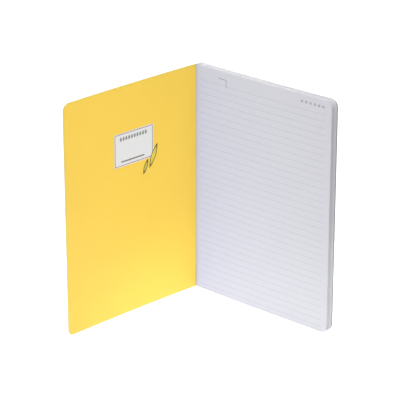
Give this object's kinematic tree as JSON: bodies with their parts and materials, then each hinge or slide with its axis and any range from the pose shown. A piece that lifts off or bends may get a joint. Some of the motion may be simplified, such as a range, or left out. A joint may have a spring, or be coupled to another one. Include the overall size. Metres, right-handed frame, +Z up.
{
  "type": "lined notebook",
  "caption": "Soft-cover ruled notebook, A5, glued square spine and rounded corners, standing open in a V on its tail edge; both cover boards turn at the spine folds.",
  "frame": {"origin": "middle of the footprint, on the surface that the open notebook stands on", "axes": "+Z up, from the tail of the leaves to their head; -Y towards the reader, into whom the V opens; front cover on the -X side, leaves and back cover on the +X side"},
  "size_m": [0.2256, 0.1054, 0.21],
  "materials": {
    "leaves": "uncoated white writing paper, faintly ruled in grey",
    "glue": "milky hot-melt glue",
    "cover_card": "smooth yellow card with a faint silk surface"
  },
  "bodies": {
    "leaves": {"page_block": "leaves", "spine_glue": "glue", "cover_spine": "cover_card"},
    "front_board": {"front_cover": "cover_card"},
    "back_board": {"back_cover": "cover_card"}
  },
  "joints": [
    {"name": "front_fold", "type": "hinge", "parent": "leaves", "child": "front_board", "pos_m": [-0.00276, 0.04746, 0.105], "axis": [0, 0, -1], "range_deg": [-95.4, 84]},
    {"name": "back_fold", "type": "hinge", "parent": "leaves", "child": "back_board", "pos_m": [0.00182, 0.05249, 0.105], "axis": [0, 0, 1], "range_deg": [0, 179]}
  ]
}
